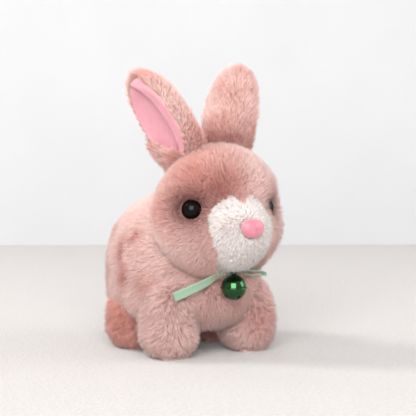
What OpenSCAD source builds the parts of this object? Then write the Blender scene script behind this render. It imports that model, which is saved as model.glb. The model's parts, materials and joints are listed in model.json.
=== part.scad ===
// A walking plush bunny: a plastic chassis with a geared walking drive, four
// hinged legs, a nodding head with hinged ears and a twitching nose, all
// inside padded plush, with a ribbon and a jingle bell at the neck.
// Millimetres. +Z is up, the feet stand on z = 0, and the bunny faces -Y.

/* [Plush body] */
// Half width and half length of the trunk, and its height above its widest level
body_semi = [42, 53, 45]; // [40:1:54]
// How far the trunk reaches below its widest level
body_drop = 35; // [33:1:36]
// Height of the trunk's widest level above the ground
body_z = 50; // [48:1:52]
// How far the trunk's centre lies behind the origin
body_y = 10; // [8:1:12]
// Radius of the tail puff
tail_r = 11; // [8:1:12]

/* [Plush head] */
// Half width, half length and half height of the head
head_semi = [39.5, 31, 39]; // [30:0.5:40]
// Half width, half length and half height of the muzzle
muzzle_semi = [23, 18, 22.5]; // [17:0.5:24]
// Radius of an eye
eye_r = 6; // [5:0.5:6.5]
// Half width, half depth and half height of the nose
nose_semi = [7.5, 4, 5.5]; // [3.5:0.5:8]

/* [Ears] */
// Half width, half thickness and half length of the left ear
ear_semi = [18.5, 10, 35.5]; // [9:0.5:36]
// How much less the right ear's half length is
ear_short = 2; // [0:0.5:3]
// Turn of the right ear's opening, outwards from the front
ear_turn_right = 70; // [60:5:100]
// Turn of the left ear's opening, outwards from the front
ear_turn_left = 105; // [60:5:110]

/* [Legs] */
// Half width, half length and half height of a front leg
front_semi = [16, 17, 20]; // [15:1:18]
// Half width, half length and half height of a rear leg
rear_semi = [16, 18, 17.5]; // [15:1:19]
// Height of the leg pivots above the ground
pivot_z = 30; // [29:1:31]
// Thickness of a sole pad
sole_t = 1.6; // [1:0.1:2]
// Half length of a sole pad
sole_y = 9; // [8:0.5:10.5]
// How far a sole pad reaches outwards
sole_x = 35; // [33:0.5:36.5]

/* [Drive] */
// Module of the gear teeth
gear_module = 0.5; // [0.5:0.05:0.5]
// Teeth of the large gears
gear_teeth = 36; // [36:1:36]
// Teeth of the pinions
pinion_teeth = 10; // [10:1:10]
// Throw of the crank pins
crank_throw = 3.8; // [3:0.1:4]

/* [Bell and ribbon] */
// Radius of the jingle bell
bell_r = 7.5; // [7:0.1:7.5]
// Width of the ribbon
ribbon_w = 6; // [4:0.5:6]
// Thickness of the ribbon
ribbon_t = 0.6; // [0.4:0.1:0.8]

/* [Hidden] */
$fn = 48;
eps = 0.01;

fur_pink = [0.86, 0.68, 0.66];
fur_rose = [0.74, 0.52, 0.50];
fur_white = [0.92, 0.89, 0.87];
satin_pink = [0.95, 0.68, 0.74];
shell_white = [0.90, 0.89, 0.86];
shell_grey = [0.55, 0.56, 0.58];
steel = [0.75, 0.76, 0.78];
bell_green = [0.05, 0.42, 0.18];
ribbon_green = [0.66, 0.84, 0.72];

// Tail: the flat seat on the trunk, and how far back the tail reaches
tail_seat = 59.5;
tail_end = 73;

// Chassis box, outside, and its walls
half_w = 17;
front_y = -27;
back_y = 35;
floor_z = 18;
split_z = 40;
top_z = 64;
wall = 1.8;
tray_z = 33.5;

// Legs: places of the plush, the plates and the rod
front_y0 = -22;
rear_y0 = 20;
front_at = [27, front_y0, 20];
rear_at = [28, rear_y0, 17.5];
plate_x = 19.3;
plate_t = 2.5;
rod_x = 17.4;
rod_t = 1.5;
rod_rise = 9;
pivot_r = 1.8;
run_gap = 0.05;

// Gear train, all axes along X at one height
gear_z = 52;
crank_y = rear_y0;
gear_r = gear_module * gear_teeth / 2;
pinion_r = gear_module * pinion_teeth / 2;
step_y = gear_r + pinion_r;
idler_y = crank_y - step_y;
motor_y = idler_y - step_y;
crank_x = 1;
idler_x = 7;
gear_t = 3;
shaft_r = 1.25;
pin_r = 1;

// Neck: the plane between head and trunk, and the nod axis in it
neck_at = [0, -21, 71];
neck_tilt = 47;
neck_gap = 1.6;
neck_room = 12;
neck_pin_r = 1.5;
lug_x = 3;

// Head: places of the plush, the inner shell, the face and the ears
head_at = [0, -35, 85.5];
muzzle_at = [0, -51.5, 75];
shell_at = [0, -34, 90];
shell_r = 18;
eye_at = [24.5, -44.5, 88];
nose_at = [0, -70, 77.8];
nose_pin_y = -56;
ear_base = [15, -22, 116];
ear_lean_back = 17.3;
ear_lean_out = 23.7;
ear_root = 6;
ear_pivot = [11.5, -24.7, 108.1];
ear_barrel = 7.4;
arm_in = 2.8;

// Bell and ribbon
bell_at = [0, -50.5, 42.6];
bell_wall = 0.6;
ring_r = 1.5;
ring_wire = 0.4;
ring_at = bell_at + [0, 0, bell_r + 1.3];
pellet_r = 1.7;
band_r = 30.6;

// A closed round body: a superellipsoid with its poles on Z, whose lower half
// can be fuller (low_power) and deeper (low_z)
function spow(v, p) = sign(v) * pow(abs(v), p);
module blob(at, semi, power = 2, rings = 12, sides = 24, low_power = undef, low_z = undef) {
    drop = is_undef(low_z) ? semi[2] : low_z;
    p = 2 / power;
    q = 2 / (is_undef(low_power) ? power : low_power);
    points = concat(
        [[0, 0, -drop]],
        [for (i = [1 : rings - 1], j = [0 : sides - 1])
            let (u = 180 * i / rings - 90, v = 360 * j / sides, e = u < 0 ? q : p)
            [semi[0] * spow(cos(u), e) * spow(cos(v), p),
             semi[1] * spow(cos(u), e) * spow(sin(v), p),
             (u < 0 ? drop : semi[2]) * spow(sin(u), e)]],
        [[0, 0, semi[2]]]);
    top = len(points) - 1;
    function at_ring(i, j) = 1 + (i - 1) * sides + j % sides;
    faces = concat(
        [for (j = [0 : sides - 1]) [0, at_ring(1, j), at_ring(1, j + 1)]],
        [for (i = [1 : rings - 2], j = [0 : sides - 1])
            each [[at_ring(i, j), at_ring(i + 1, j), at_ring(i + 1, j + 1)],
                  [at_ring(i, j), at_ring(i + 1, j + 1), at_ring(i, j + 1)]]],
        [for (j = [0 : sides - 1]) [top, at_ring(rings - 1, j + 1), at_ring(rings - 1, j)]]);
    translate(at) polyhedron(points, faces);
}

// A cylinder along X from x0 to x1, through a point given as [y, z]
module x_rod(x0, x1, at, r) {
    translate([x0, at[0], at[1]]) rotate([0, 90, 0]) cylinder(r = r, h = x1 - x0);
}

// A cylinder along Y from y0 to y1, through a point given as [x, z]
module y_rod(y0, y1, at, r) {
    translate([at[0], y0, at[1]]) rotate([-90, 0, 0]) cylinder(r = r, h = y1 - y0);
}

// A box from its lowest to its highest corner
module block(low, high) {
    translate(low) cube(high - low);
}

// The right side is modelled as the mirror image of the left
module side(s) {
    if (s < 0) mirror([1, 0, 0]) children();
    else children();
}

// ---- Plush -----------------------------------------------------------------

module trunk() {
    blob([0, body_y, body_z], body_semi, 2.1, 14, 28, 3.6, body_drop);
}

// The half space on the head's side of the neck plane, moved by a gap
module head_side(gap) {
    reach = 120;
    translate(neck_at) rotate([neck_tilt, 0, 0])
        translate([-reach, -reach, gap]) cube([2 * reach, 2 * reach, reach]);
}

module neck_ring(r0, r1, low, high) {
    translate(neck_at) rotate([neck_tilt, 0, 0]) translate([0, 0, low])
        difference() {
            cylinder(r = r1, h = high - low);
            translate([0, 0, -eps]) cylinder(r = r0, h = high - low + 2 * eps);
        }
}

// Everything that the trunk's padding leaves room for
module trunk_room() {
    outer_x = 23.8;
    well_r = 21.8;
    reach = 60;
    block([-outer_x, front_y - 0.4, -1], [outer_x, back_y + 0.4, top_z + 0.4]);
    block([-reach, -reach, -1], [reach, reach, floor_z - 0.5]);
    for (s = [-1, 1], y = [front_y0, rear_y0])
        side(s) x_rod(plate_x - 0.5, reach, [y, pivot_z - 3.5], well_r);
    block([-reach, -4, -1], [reach, 2, 27]);
    translate(neck_at) sphere(r = neck_room);
}

module body_plush() {
    color(fur_pink) difference() {
        trunk();
        head_side(-neck_gap);
        trunk_room();
        neck_ring(band_r - 0.4, 80, -neck_gap - ribbon_w - 0.5, 0);
        block([-40, tail_seat, 0], [40, 100, 120]);
    }
}

module tail_plush() {
    color(fur_pink) intersection() {
        blob([0, tail_end - tail_r, 66], [tail_r, tail_r, tail_r], 2, 10, 20);
        block([-40, tail_seat, 0], [40, 80, 120]);
    }
}

module head_room() {
    translate(shell_at) sphere(r = shell_r + 2);
    translate(neck_at) sphere(r = neck_room);
    block([-15.5, -33, 100], [15.5, -17, 113.2]);
    for (s = [-1, 1]) {
        side(s) eye_room();
        ear_well(s);
    }
    bell_room();
}

// Room for an ear to swing
module ear_well(s) {
    side(s) {
        ear_frame(ear_turn(s))
            blob([0, 0, ear_rise(s)], ear_size(s) + [1.8, 3, 2], 2.1, 12, 24);
        translate(ear_base - [1, 1, 3]) sphere(r = 8.5);
    }
}

// Room under the chin for the bell's ring and the ribbon's knot
module bell_room() {
    block([-4.5, -55, 40], [4.5, -37.5, 55.5]);
    block([-18, -52, 40], [18, -40, 55.3]);
}

// Direction from the inner shell through the eye
eye_way = eye_at - shell_at;
eye_turn = atan2(eye_way[1], eye_way[0]);
eye_lift = acos(eye_way[2] / norm(eye_way));
module eye_frame() {
    translate(eye_at) rotate([0, 0, eye_turn]) rotate([0, eye_lift, 0]) children();
}

module eye_room() {
    eye_frame() {
        sphere(r = eye_r + 0.2);
        cylinder(r1 = eye_r + 0.2, r2 = eye_r + 6, h = 18);
        translate([0, 0, -14]) cylinder(r = 1.7, h = 14);
        translate([0, 0, -14]) cylinder(r = 5.2, h = 7.2);
    }
}

// Room for the nose to twitch
module nose_room() {
    blob(nose_at, nose_semi + [0.8, 1.2, 1.7], 2, 8, 16);
    block([-4.4, nose_pin_y - 3, nose_at[2] - 4], [4.4, -40, nose_at[2] + 4]);
    block([-2.2, nose_at[1], nose_at[2] - 2.7], [2.2, nose_pin_y, nose_at[2] + 2.7]);
}

module head_plush() {
    color(fur_rose) difference() {
        intersection() {
            blob(head_at, head_semi, 2.1, 14, 28);
            head_side(neck_gap);
        }
        blob(muzzle_at, muzzle_semi);
        head_room();
        nose_room();
    }
}

module muzzle_plush() {
    color(fur_white) difference() {
        blob(muzzle_at, muzzle_semi);
        translate(shell_at) sphere(r = shell_r + 2);
        block([-100, -33.5, 0], [100, 100, 200]);
        nose_room();
        for (s = [-1, 1]) side(s) eye_room();
        bell_room();
    }
}

// ---- Ears ------------------------------------------------------------------

function ear_turn(s) = s < 0 ? ear_turn_right : ear_turn_left;
function ear_size(s) = ear_semi - [0, 0, s < 0 ? ear_short : 0];
function ear_rise(s) = ear_size(s)[2] - ear_root;

// The left ear's own frame: Z along the ear, -Y out of its opening
module ear_frame(turn) {
    translate(ear_base) rotate([-ear_lean_back, ear_lean_out, 0]) rotate([0, 0, turn]) children();
}

function scoop_semi(s) = [ear_semi[0] - 4, 8, ear_size(s)[2] - 5];
function scoop_at(s) = [0, -7, ear_rise(s) + 2.5];
stay_y = 3.2;
stay_t = 1.6;
stay_w = 8;
stay_top = 44;

module ear_plush(s) {
    color(fur_rose) side(s) ear_frame(ear_turn(s)) difference() {
        blob([0, 0, ear_rise(s)], ear_size(s), 2.1, 12, 24);
        blob(scoop_at(s), scoop_semi(s), 2, 12, 20);
        block([-stay_w / 2 - 0.1, stay_y - stay_t / 2 - 0.1, -20],
              [stay_w / 2 + 0.1, stay_y + stay_t / 2 + 0.1, stay_top + 0.1]);
        block([-6, -2, -20], [6, stay_y + 3.4, 7]);
        block([-30, -30, -20], [30, 30, 1.5]);
    }
}

module ear_lining(s) {
    lining_t = 1.2;
    color(satin_pink) side(s) ear_frame(ear_turn(s)) difference() {
        blob(scoop_at(s), scoop_semi(s) - [0.1, 0.1, 0.1], 2, 12, 20);
        blob(scoop_at(s) - [0, 1.5 * lining_t, 0], scoop_semi(s) - [lining_t, lining_t, lining_t],
             2, 12, 20);
        block([-30, -30, -30], [30, -7, 90]);
    }
}

module ear_stay(s) {
    color(shell_white) side(s) difference() {
        union() {
            ear_frame(ear_turn(s))
                block([-stay_w / 2, stay_y - stay_t / 2, 3], [stay_w / 2, stay_y + stay_t / 2, stay_top]);
            hull() {
                ear_frame(ear_turn(s)) translate([0, stay_y, 4]) sphere(r = 2.2, $fn = 24);
                translate(ear_pivot) sphere(r = 2.2, $fn = 24);
            }
            y_rod(ear_pivot[1] - ear_barrel / 2, ear_pivot[1] + ear_barrel / 2,
                  [ear_pivot[0], ear_pivot[2]], 2.6);
            block([arm_in, ear_pivot[1] - 1.3, ear_pivot[2] - 1],
                  [ear_pivot[0], ear_pivot[1] + 1.3, ear_pivot[2] + 1]);
        }
        y_rod(ear_pivot[1] - 10, ear_pivot[1] + 10, [ear_pivot[0], ear_pivot[2]], pin_r + run_gap);
    }
}

lug_gap = ear_barrel / 2 + 0.3;
lug_t = 2;
module ear_pins() {
    color(steel) for (s = [-1, 1]) side(s)
        y_rod(ear_pivot[1] - lug_gap - lug_t, ear_pivot[1] + lug_gap + lug_t,
              [ear_pivot[0], ear_pivot[2]], pin_r);
}

// The crossbar that lifts the inner arms of both ears
module ear_yoke() {
    stem_r = 1.4;
    color(shell_grey) {
        block([-6.5, ear_pivot[1] - 1.3, ear_pivot[2] + 1.7], [6.5, ear_pivot[1] + 1.3, ear_pivot[2] + 3.2]);
        translate([0, ear_pivot[1], shell_at[2] + 5]) cylinder(r = stem_r, h = ear_pivot[2] - shell_at[2] - 3);
    }
}

// ---- Head shell, eyes and nose ---------------------------------------------

// Half of the inner ball, open towards +Y or -Y
module half_ball(way) {
    translate(shell_at) rotate([-90 * way, 0, 0]) rotate_extrude() intersection() {
        difference() {
            circle(r = shell_r);
            circle(r = shell_r - wall);
        }
        square(2 * shell_r);
    }
}

module ear_lugs() {
    for (s = [-1, 1], d = [-1, 1]) side(s)
        translate([ear_pivot[0], ear_pivot[1] + d * (lug_gap + lug_t / 2), ear_pivot[2]])
            rotate([90, 0, 0]) translate([0, 0, -lug_t / 2]) {
                cylinder(r = 2.4, h = lug_t);
                rotate([0, 0, -122]) translate([0, -2.4, 0]) cube([13, 4.8, lug_t]);
            }
}

module neck_lug() {
    block([-lug_x, neck_at[1] - 7, neck_at[2]], [lug_x, neck_at[1] + 3.4, neck_at[2] + 10]);
    x_rod(-lug_x, lug_x, [neck_at[1], neck_at[2]], 3.4);
}

module head_shell_back() {
    color(shell_white) difference() {
        union() {
            half_ball(1);
            difference() {
                union() {
                    ear_lugs();
                    neck_lug();
                }
                translate(shell_at) sphere(r = shell_r - wall / 2);
            }
        }
        block([-50, -100, 0], [50, shell_at[1], 95]);
        x_rod(-10, 10, [neck_at[1], neck_at[2]], neck_pin_r + run_gap);
        for (s = [-1, 1]) side(s)
            y_rod(ear_pivot[1] - 10, ear_pivot[1] + 10, [ear_pivot[0], ear_pivot[2]], pin_r);
        translate([0, ear_pivot[1], shell_at[2]]) cylinder(r = 1.45, h = 30);
    }
}

module head_shell_front() {
    lug = 1.5;
    color(shell_white) difference() {
        union() {
            half_ball(-1);
            difference() {
                for (s = [-1, 1]) side(s) {
                    block([2.3, nose_pin_y, nose_at[2] - 1.8], [2.3 + lug, -44, nose_at[2] + 1.8]);
                    x_rod(2.3, 2.3 + lug, [nose_pin_y, nose_at[2]], 1.8);
                }
                translate(shell_at) sphere(r = shell_r - wall / 2);
            }
        }
        x_rod(-10, 10, [nose_pin_y, nose_at[2]], 0.8);
    }
}

module eyes() {
    color([0.03, 0.02, 0.02]) for (s = [-1, 1]) side(s) eye_frame() {
        sphere(r = eye_r);
        translate([0, 0, -8.5]) cylinder(r = 1.6, h = 5);
    }
}

module eye_washers() {
    color(shell_white) for (s = [-1, 1]) side(s) eye_frame() translate([0, 0, -8.3])
        difference() {
            cylinder(r = 4.8, h = 1.2);
            translate([0, 0, -1]) cylinder(r = 1.6, h = 4);
        }
}

module nose() {
    color([0.96, 0.60, 0.68]) difference() {
        blob(nose_at, nose_semi, 2.2, 12, 24);
        y_rod(nose_at[1], 0, [0, nose_at[2]], 1.4);
    }
}

module nose_lever() {
    color(shell_grey) difference() {
        union() {
            y_rod(nose_at[1], nose_pin_y, [0, nose_at[2]], 1.4);
            x_rod(-2, 2, [nose_pin_y, nose_at[2]], 1.9);
        }
        x_rod(-5, 5, [nose_pin_y, nose_at[2]], 0.8 + run_gap);
    }
}

module nose_pin() {
    color(steel) x_rod(-3.8, 3.8, [nose_pin_y, nose_at[2]], 0.8);
}

// ---- Legs ------------------------------------------------------------------

// The padding of a leg, outside its plate
module leg_plush(s, at, semi) {
    inner_x = plate_x + plate_t + 0.1;
    color(fur_pink) side(s) difference() {
        blob(at, semi, 2.4, 12, 24, 3.2);
        block([-50, -100, -50], [inner_x, 100, 100]);
        block([0, -100, -50], [100, 100, sole_t]);
        block([0, at[1] - sole_y - 0.2, 0], [sole_x + 0.2, at[1] + sole_y + 0.2, sole_t + 1.8]);
        x_rod(inner_x - 1, inner_x + 2, [at[1], pivot_z], 4);
    }
}

// A flat bar of a leg plate, drawn as two discs joined, in the YZ plane
module plate_bar(a, b, ra, rb) {
    translate([plate_x, 0, 0]) rotate([90, 0, 90]) linear_extrude(plate_t)
        hull() {
            translate(a) circle(r = ra);
            translate(b) circle(r = rb);
        }
}

// A flat pad under a foot, with its outer corners rounded
module foot_pad(y, z, thick) {
    corner = 4;
    translate([0, 0, z]) linear_extrude(thick) {
        translate([plate_x, y - sole_y + corner]) square([sole_x - plate_x, 2 * sole_y - 2 * corner]);
        translate([plate_x, y - sole_y]) square([sole_x - corner - plate_x, 2 * sole_y]);
        for (d = [-1, 1]) translate([sole_x - corner, y + d * (sole_y - corner)]) circle(r = corner);
    }
}

module leg_plate(y, arm) {
    union() {
        plate_bar([y, sole_t + 7], [y, pivot_z], 7, 6);
        plate_bar([y, pivot_z], [y, pivot_z + arm], 6, 3.4);
        block([plate_x, y - 7, sole_t], [plate_x + plate_t, y + 7, 9]);
        foot_pad(y, sole_t, 1.7);
        x_rod(rod_x - 0.2, plate_x + eps, [y, pivot_z + rod_rise], 1.2);
    }
}

module leg_frame(s, y, arm, slot) {
    color(shell_grey) side(s) difference() {
        leg_plate(y, arm);
        x_rod(0, 50, [y, pivot_z], pivot_r + run_gap);
        if (slot) {
            block([0, y - 1.4, gear_z - crank_throw], [50, y + 1.4, gear_z + crank_throw]);
            for (d = [-1, 1]) x_rod(0, 50, [y, gear_z + d * crank_throw], 1.4);
        }
    }
}

front_arm = rod_rise + 1;
rear_arm = gear_z - pivot_z + crank_throw + 1;
module front_leg_frame(s) { leg_frame(s, front_y0, front_arm, false); }
module rear_leg_frame(s) { leg_frame(s, rear_y0, rear_arm, true); }

module sole(s, y) {
    color(fur_rose) side(s) difference() {
        foot_pad(y, 0, sole_t);
        for (d = [-1, 0, 1]) block([plate_x - 1, y + 5 * d - 0.5, -1], [40, y + 5 * d + 0.5, 0.6]);
    }
}

module leg_pins() {
    color(steel) for (s = [-1, 1], y = [front_y0, rear_y0]) side(s) {
        x_rod(half_w - wall + 0.2, plate_x + plate_t + 0.3, [y, pivot_z], pivot_r);
        x_rod(plate_x + plate_t + 0.3, plate_x + plate_t + 1.4, [y, pivot_z], 3.2);
    }
}

module coupler_rod(s) {
    color(shell_grey) side(s) difference() {
        translate([rod_x, 0, pivot_z + rod_rise]) rotate([90, 0, 90]) linear_extrude(rod_t)
            union() {
                for (y = [front_y0, rear_y0]) translate([y, 0]) circle(r = 2.6);
                translate([front_y0, -1.6]) square([rear_y0 - front_y0, 3.2]);
            }
        for (y = [front_y0, rear_y0]) x_rod(0, 50, [y, pivot_z + rod_rise], 1.3);
    }
}

// ---- Chassis ---------------------------------------------------------------

door_x = 11.5;
door_y0 = -14.5;
door_y1 = 31.5;
cell_r = 5.25;
cell_len = 44.5;
cell_y0 = -12.2;
cell_z = floor_z + wall + 0.15 + cell_r;
post_x = 13.2;
post_y = [-23.5, 31.5];
screw_r = 1.1;

module lower_housing() {
    inside = half_w - wall;
    color(shell_white) difference() {
        union() {
            difference() {
                block([-half_w, front_y, floor_z], [half_w, back_y, split_z]);
                block([-inside, front_y + wall, floor_z + wall], [inside, back_y - wall, split_z + 1]);
            }
            block([-inside - eps, front_y + wall - eps, tray_z], [inside + eps, back_y - wall + eps, tray_z + 1.4]);
            for (s = [-1, 1], y = [front_y0, rear_y0]) side(s)
                x_rod(half_w - eps, plate_x - 0.2, [y, pivot_z], 3.8);
            for (s = [-1, 1], y = post_y)
                translate([s * post_x, y, floor_z]) cylinder(r = 2.2, h = split_z - floor_z);
            translate([-2.5, door_y1, floor_z]) cube([5, 1.5, 3]);
        }
        block([-door_x, door_y0, floor_z - 1], [door_x, door_y1, floor_z + wall + eps]);
        for (s = [-1, 1], y = [front_y0, rear_y0]) side(s) x_rod(0, 50, [y, pivot_z], pivot_r);
        for (s = [-1, 1], y = post_y)
            translate([s * post_x, y, floor_z - 1]) cylinder(r = screw_r, h = split_z);
        block([-3.2, -22.2, floor_z - 1], [3.2, -19.8, floor_z + wall + eps]);
    }
}

module upper_housing() {
    inside = half_w - wall;
    color(shell_white) difference() {
        union() {
            difference() {
                block([-half_w, front_y, split_z], [half_w, back_y, top_z]);
                block([-inside, front_y + wall, split_z - 1], [inside, back_y - wall, top_z - wall]);
            }
            for (s = [-1, 1], y = post_y)
                translate([s * post_x, y, split_z]) cylinder(r = 2.2, h = 8);
        }
        x_rod(-50, 50, [crank_y, gear_z], shaft_r + run_gap);
        x_rod(-16.4, 16.4, [idler_y, gear_z], pin_r);
        for (s = [-1, 1], y = post_y)
            translate([s * post_x, y, split_z - 1]) cylinder(r = screw_r, h = 7);
        for (a = [0 : 60 : 300])
            translate([6 * cos(a), front_y - 1, 51 + 6 * sin(a)]) rotate([-90, 0, 0]) cylinder(r = 1, h = 4);
    }
}

module housing_screws() {
    color(steel) for (s = [-1, 1], y = post_y) translate([s * post_x, y, 0]) {
        translate([0, 0, floor_z]) cylinder(r = screw_r, h = 27);
        translate([0, 0, floor_z - 0.4]) cylinder(r = 1.5, h = 0.4);
    }
}

door_screw_y = -12.4;
module battery_door() {
    gap = 0.25;
    color(shell_white) difference() {
        union() {
            block([-door_x + gap, door_y0 + gap, floor_z], [door_x - gap, door_y1 - gap, floor_z + wall]);
            for (y = [-4 : 5 : 26]) block([-7, y, floor_z - 0.5], [7, y + 1.5, floor_z + eps]);
        }
        translate([0, door_screw_y, floor_z - 1]) cylinder(r = 1, h = 5);
    }
}

module door_screw() {
    color(steel) {
        translate([0, door_screw_y, floor_z]) cylinder(r = 1, h = wall);
        translate([0, door_screw_y, floor_z - 0.6]) cylinder(r = 1.6, h = 0.6);
    }
}

module battery_cells() {
    color([0.2, 0.45, 0.35]) for (s = [-1, 1]) {
        y_rod(cell_y0, cell_y0 + cell_len - 1, [s * 5.4, cell_z], cell_r);
        y_rod(cell_y0 + cell_len - 1, cell_y0 + cell_len, [s * 5.4, cell_z], 1.9);
    }
}

module contact_springs() {
    color(steel) for (s = [-1, 1]) translate([s * 5.4, cell_y0 - 3.4, cell_z]) rotate([-90, 0, 0])
        difference() {
            union() {
                cylinder(r1 = 4, r2 = 2.4, h = 3.3);
                translate([0, 0, -0.4]) cylinder(r = 4.2, h = 0.4);
            }
            translate([0, 0, 0.4]) cylinder(r = 1.6, h = 5);
        }
}

module contact_plate() {
    y = cell_y0 + cell_len;
    color(steel) block([-10, y + 0.05, cell_z - 4], [10, y + 0.55, cell_z + 4]);
}

switch_y = -21;
module switch_body() {
    color(shell_grey) difference() {
        block([-5.5, switch_y - 2.6, floor_z + wall + 0.05], [5.5, switch_y + 2.6, floor_z + wall + 5]);
        block([-3.2, switch_y - 1.2, floor_z], [3.2, switch_y + 1.2, floor_z + wall + 3]);
    }
}

// At rest the slider stands at its off end
module switch_slider() {
    color([0.12, 0.12, 0.13]) {
        block([-2.7, switch_y - 0.8, floor_z - 1.4], [-0.3, switch_y + 0.8, floor_z + wall + 2.6]);
    }
}

module circuit_board() {
    z = tray_z + 1.4;
    color([0.1, 0.4, 0.25]) union() {
        block([-10.5, -20, z], [10.5, 14, z + 1.2]);
        block([-6, -14, z + 1.2], [0, -8, z + 2.6]);
        block([3, 2, z + 1.2], [7, 6, z + 3]);
        translate([6, -12, z + 1.2]) cylinder(r = 2.2, h = 3.4);
    }
}

module speaker() {
    y = front_y + wall;
    color([0.15, 0.15, 0.16]) {
        y_rod(y, y + 2, [0, 51], 10);
        y_rod(y + 2, y + 4.6, [0, 51], 5.5);
    }
}

module motor() {
    color(steel) difference() {
        union() {
            intersection() {
                x_rod(-9.5, 5.5, [motor_y, gear_z], 6.2);
                block([-10, motor_y - 7, gear_z - 5], [6, motor_y + 7, gear_z + 5]);
            }
            block([-8, motor_y - 5, gear_z + 4], [4, motor_y + 5, top_z - wall]);
        }
        x_rod(-8, 6, [motor_y, gear_z], 0.8 + run_gap);
    }
}

// ---- Gear train ------------------------------------------------------------

// A toothed wheel along X; a tooth points along +Y when turned by 0
module toothed(x0, at, teeth, bore, turn) {
    pitch = gear_module * PI;
    rp = gear_module * teeth / 2;
    root = rp - 1.3 * gear_module;
    tip = rp + 0.8 * gear_module;
    function half(w, r) = w * pitch / 2 / r * 180 / PI;
    outline = [for (i = [0 : teeth - 1], k = [0 : 3])
        let (r = k == 0 || k == 3 ? root : tip,
             w = k == 0 || k == 3 ? 0.62 : 0.20,
             a = 360 * i / teeth + turn + (k < 2 ? -1 : 1) * half(w, r))
        r * [cos(a), sin(a)]];
    translate([x0, at[0], at[1]]) rotate([90, 0, 90]) linear_extrude(gear_t)
        difference() {
            polygon(outline);
            circle(r = bore);
        }
}

// Half a pitch turns a wheel so that its gaps face its neighbour's teeth
module motor_pinion() {
    color(shell_grey) toothed(idler_x, [motor_y, gear_z], pinion_teeth, eps * 60, 360 / pinion_teeth / 2);
    color(steel) x_rod(-7, idler_x + gear_t, [motor_y, gear_z], 0.8);
}

module reduction_gear() {
    color([0.93, 0.93, 0.9]) difference() {
        union() {
            toothed(idler_x, [idler_y, gear_z], gear_teeth, pin_r + run_gap, 0);
            toothed(crank_x, [idler_y, gear_z], pinion_teeth, pin_r + run_gap, 360 / pinion_teeth / 2);
            x_rod(crank_x + gear_t - eps, idler_x + eps, [idler_y, gear_z], 1.8);
        }
        x_rod(-20, 20, [idler_y, gear_z], pin_r + run_gap);
    }
}

module gear_pin() {
    color(steel) x_rod(-16.4, 16.4, [idler_y, gear_z], pin_r);
}

module crank_shaft() {
    color(steel) x_rod(-rod_x - rod_t, rod_x + rod_t, [crank_y, gear_z], shaft_r);
}

module crank_gear() {
    color([0.93, 0.93, 0.9]) toothed(crank_x, [crank_y, gear_z], gear_teeth, shaft_r, 0);
}

// The crank pins stand opposite each other and end just short of the slots
module crank_disc(s) {
    color(shell_grey) side(s) difference() {
        union() {
            x_rod(rod_x, rod_x + rod_t, [crank_y, gear_z], 6);
            x_rod(rod_x + rod_t - eps, plate_x - 0.15, [crank_y, gear_z + s * crank_throw], 1.2);
        }
        x_rod(0, rod_x + rod_t + eps, [crank_y, gear_z], shaft_r);
    }
}

// ---- Neck ------------------------------------------------------------------

module neck_bracket() {
    arm_x = lug_x + 0.4;
    arm_t = 2.4;
    color(shell_grey) difference() {
        union() {
            block([-8, neck_at[1] - 5, top_z], [8, neck_at[1] + 6, top_z + 2]);
            for (s = [-1, 1]) side(s) {
                block([arm_x, neck_at[1] - 3.4, top_z + 2], [arm_x + arm_t, neck_at[1] + 3.4, neck_at[2]]);
                x_rod(arm_x, arm_x + arm_t, [neck_at[1], neck_at[2]], 3.4);
            }
        }
        x_rod(-10, 10, [neck_at[1], neck_at[2]], neck_pin_r);
    }
}

module neck_pin() {
    color(steel) x_rod(-lug_x - 2.8, lug_x + 2.8, [neck_at[1], neck_at[2]], neck_pin_r);
}

// ---- Ribbon and bell -------------------------------------------------------

// A straight length of ribbon; across gives its thickness and width along each axis
module strip(a, b, across = [ribbon_t, ribbon_t, ribbon_w]) {
    hull() {
        translate(a) cube(across, center = true);
        translate(b) cube(across, center = true);
    }
}

module ribbon() {
    color(ribbon_green) {
        neck_ring(band_r, band_r + ribbon_t, -neck_gap - ribbon_w - 0.2, -neck_gap - 0.2);
        strip([0, -39.2, 46], [0, -47.4, 51.6], [ribbon_w, 1, 1]);
        strip([-2, -46.2, 52.2], [-31.5, -40, 38.5], [ribbon_t, ribbon_t, ribbon_w - 1.6]);
        strip([2, -47.5, 52.2], [21.5, -46.5, 48.2], [ribbon_t, ribbon_w - 2, 2.4]);
        block([-3, -48.8, 50.7], [3, -46.2, 53.7]);
        y_rod(ring_at[1] - 1.5, -48, [ring_at[0], ring_at[2]], ring_r - ring_wire - 0.35);
    }
}

// Half of the bell, with half of the rolled rim that joins the two
module bell_half() {
    rim = 0.5;
    rotate_extrude() intersection() {
        difference() {
            union() {
                circle(r = bell_r);
                square([bell_r + rim, rim]);
            }
            circle(r = bell_r - bell_wall);
        }
        square(2 * bell_r);
    }
}

module bell_upper() {
    color(bell_green) {
        translate(bell_at) bell_half();
        translate(ring_at) rotate([90, 0, 0]) rotate_extrude()
            translate([ring_r, 0]) circle(r = ring_wire, $fn = 16);
    }
}

module bell_lower() {
    slot = 0.6;
    color(bell_green) difference() {
        translate(bell_at) rotate([180, 0, 0]) bell_half();
        translate(bell_at - [0, 0, bell_r]) cube([2 * bell_r - 5, 2 * slot, 6], center = true);
        translate(bell_at - [0, 0, bell_r]) cube([2 * slot, 2 * bell_r - 5, 6], center = true);
        for (a = [0 : 90 : 270]) translate(bell_at) rotate([0, 0, a])
            translate([bell_r - 2.5, 0, -bell_r]) cylinder(r = 1.1, h = 4);
    }
}

module bell_pellet() {
    color(steel) translate(bell_at - [0, 0, bell_r - bell_wall - pellet_r - 0.3]) sphere(r = pellet_r);
}

// ---- Nodes -----------------------------------------------------------------

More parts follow.
